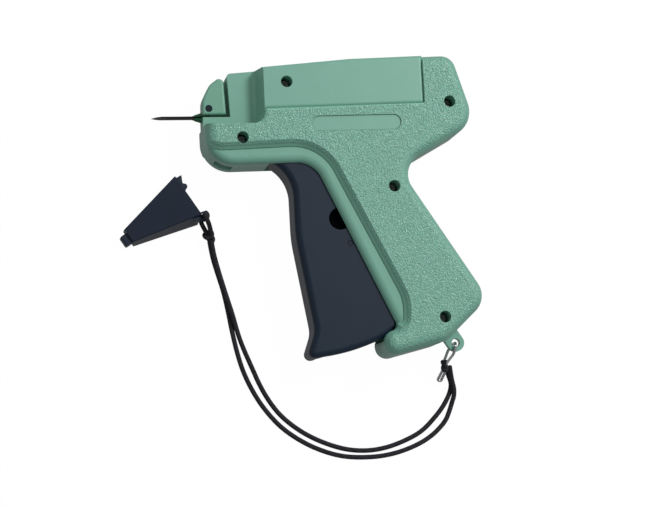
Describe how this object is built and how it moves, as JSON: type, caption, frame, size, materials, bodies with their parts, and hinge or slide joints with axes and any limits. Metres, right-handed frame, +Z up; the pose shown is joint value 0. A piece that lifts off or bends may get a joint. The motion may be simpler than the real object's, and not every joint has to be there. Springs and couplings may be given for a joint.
{
  "type": "garment tag attacher",
  "caption": "Pistol-shaped hand tool that pushes plastic tag fasteners through a hollow needle, with its needle cap on a cord",
  "frame": {"origin": "middle of the underside of the tool as it lies on its right side, with its clip and needle cap and without its cords", "axes": "+X from the needle to the rear of the body, +Y from the handle to the top of the body, +Z up, out of the left side"},
  "size_m": [0.1618, 0.1833, 0.03],
  "materials": {
    "casing_green": "grained body colour, smooth at the rim",
    "trigger_navy": "smooth, half matt",
    "lever_navy": "smooth, half matt",
    "hub_green": "smooth, glossy",
    "needle_steel": "ground and polished",
    "screw_steel": "plated",
    "blade_steel": "ground",
    "drive_steel": "drawn wire and rod",
    "spring_steel": "drawn wire and strip",
    "clip_chrome": "bright plated wire",
    "guide_plastic": "natural moulding",
    "gear_plastic": "natural low-friction moulding",
    "slide_plastic": "black low-friction moulding",
    "wheel_plastic": "low-friction moulding",
    "cord_black": "braided, limp",
    "cap_black": "soft smooth moulding"
  },
  "bodies": {
    "casing": {"left_casing": "casing_green", "right_casing": "casing_green", "nose_block": "casing_green", "casing_screws": "screw_steel", "needle": "needle_steel", "needle_hub": "hub_green", "cutter_blade": "blade_steel", "comb_guide": "guide_plastic", "feed_wheel_axle": "drive_steel", "feed_pawl": "spring_steel", "trigger_spring": "spring_steel", "drive_gear_axle": "drive_steel", "wire_clip": "clip_chrome", "clip_knot": "cord_black", "lanyard_cord_outer": "cord_black", "lanyard_cord_inner": "cord_black", "cap_knot": "cord_black", "cap_loop": "cord_black", "needle_cap": "cap_black"},
    "trigger": {"trigger": "trigger_navy"},
    "drive_gear": {"drive_gear": "gear_plastic"},
    "slide": {"slide": "slide_plastic", "push_rod": "drive_steel"},
    "feed_wheel": {"feed_wheel": "wheel_plastic"},
    "needle_lock": {"needle_lock_lever": "lever_navy"}
  },
  "joints": [
    {"name": "trigger_pull", "type": "hinge", "parent": "casing", "child": "trigger", "pos_m": [-0.02659, 0.03654, 0.015], "axis": [0, 0, 1], "range_deg": [0, 16], "stiffness_Nm_per_rad": 0.6, "springref_deg": -28.65, "deforming": ["trigger_spring"]},
    {"name": "drive_gear_spin", "type": "hinge", "parent": "casing", "child": "drive_gear", "pos_m": [0.02537, 0.02905, 0.015], "axis": [0, 0, 1], "range_deg": [0, 185]},
    {"name": "slide_stroke", "type": "slide", "parent": "casing", "child": "slide", "axis": [-1, 0, 0], "range_m": [0, 0.0363]},
    {"name": "feed_wheel_turn", "type": "hinge", "parent": "casing", "child": "feed_wheel", "pos_m": [-0.03659, 0.03714, 0.0108], "axis": [-1, 0, 0], "continuous": true},
    {"name": "needle_lock_turn", "type": "hinge", "parent": "casing", "child": "needle_lock", "pos_m": [-0.04019, 0.05194, 0.012], "axis": [0, 0, 1], "range_deg": [0, 90]}
  ],
  "couplings": [
    {"joint": "drive_gear_spin", "follows": "trigger_pull", "ratio": 11.5},
    {"joint": "slide_stroke", "follows": "trigger_pull", "m_per_rad": 0.12937}
  ]
}
